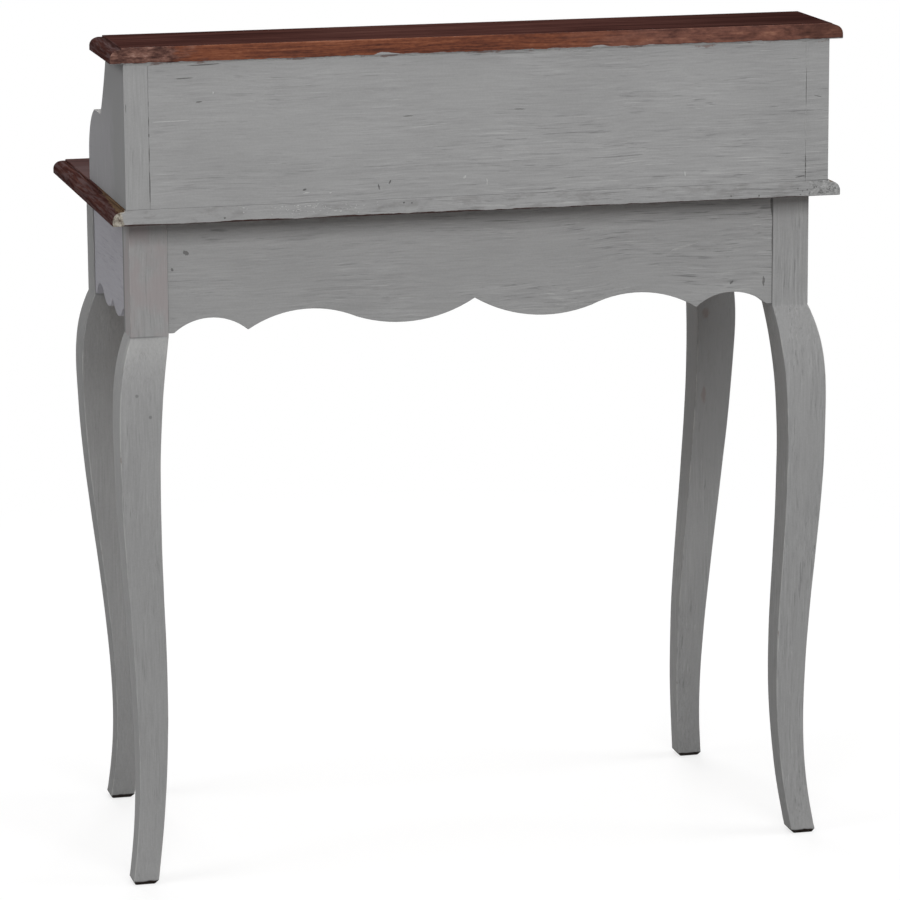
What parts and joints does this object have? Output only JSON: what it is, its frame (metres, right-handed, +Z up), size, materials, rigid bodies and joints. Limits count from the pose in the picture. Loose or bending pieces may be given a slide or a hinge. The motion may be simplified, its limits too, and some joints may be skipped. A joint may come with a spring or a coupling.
{
  "type": "writing desk",
  "caption": "Small painted writing desk on cabriole legs with scalloped aprons, a wide drawer, and a low hutch of small drawers and open pigeonholes under moulded brown tops.",
  "frame": {"origin": "centre of the desk's footprint box, at floor level", "axes": "+Z up, +X to the right of someone sitting at the desk, +Y from the sitter towards the back of the desk"},
  "size_m": [0.8, 0.404, 0.916],
  "materials": {
    "painted_wood": "brushed grey paint, worn along edges",
    "stained_top": "red-brown stain, satin, hand rubbed",
    "bare_wood": "bare planed wood",
    "knob": "turned, red-brown stain, satin"
  },
  "bodies": {
    "desk": {"leg_rear_left": "painted_wood", "leg_rear_right": "painted_wood", "leg_front_left": "painted_wood", "leg_front_right": "painted_wood", "apron_left": "painted_wood", "apron_right": "painted_wood", "apron_rear": "painted_wood", "rail_lower": "painted_wood", "rail_upper": "painted_wood", "runner_left": "bare_wood", "runner_right": "bare_wood", "kicker_left": "bare_wood", "kicker_right": "bare_wood", "writing_top": "stained_top", "hutch_end_left": "painted_wood", "hutch_end_right": "painted_wood", "divider_lower_left": "painted_wood", "divider_lower_right": "painted_wood", "divider_upper_left": "painted_wood", "divider_upper_right": "painted_wood", "hutch_back": "painted_wood", "hutch_shelf": "painted_wood", "hutch_floor": "painted_wood", "hutch_top": "stained_top"},
    "desk_drawer": {"desk_drawer_front": "painted_wood", "desk_drawer_side_left": "bare_wood", "desk_drawer_side_right": "bare_wood", "desk_drawer_back": "bare_wood", "desk_drawer_bottom": "bare_wood", "desk_drawer_knob_left": "knob", "desk_drawer_knob_right": "knob"},
    "letter_left": {"letter_left_front": "painted_wood", "letter_left_side_left": "bare_wood", "letter_left_side_right": "bare_wood", "letter_left_back": "bare_wood", "letter_left_bottom": "bare_wood", "letter_left_knob": "knob"},
    "letter_middle": {"letter_middle_front": "painted_wood", "letter_middle_side_left": "bare_wood", "letter_middle_side_right": "bare_wood", "letter_middle_back": "bare_wood", "letter_middle_bottom": "bare_wood", "letter_middle_knob": "knob"},
    "letter_right": {"letter_right_front": "painted_wood", "letter_right_side_left": "bare_wood", "letter_right_side_right": "bare_wood", "letter_right_back": "bare_wood", "letter_right_bottom": "bare_wood", "letter_right_knob": "knob"}
  },
  "joints": [
    {"name": "desk_drawer_slide", "type": "slide", "parent": "desk", "child": "desk_drawer", "axis": [0, -1, 0], "range_m": [0, 0.2]},
    {"name": "letter_left_slide", "type": "slide", "parent": "desk", "child": "letter_left", "axis": [0, -1, 0], "range_m": [0, 0.125]},
    {"name": "letter_middle_slide", "type": "slide", "parent": "desk", "child": "letter_middle", "axis": [0, -1, 0], "range_m": [0, 0.125]},
    {"name": "letter_right_slide", "type": "slide", "parent": "desk", "child": "letter_right", "axis": [0, -1, 0], "range_m": [0, 0.125]}
  ]
}
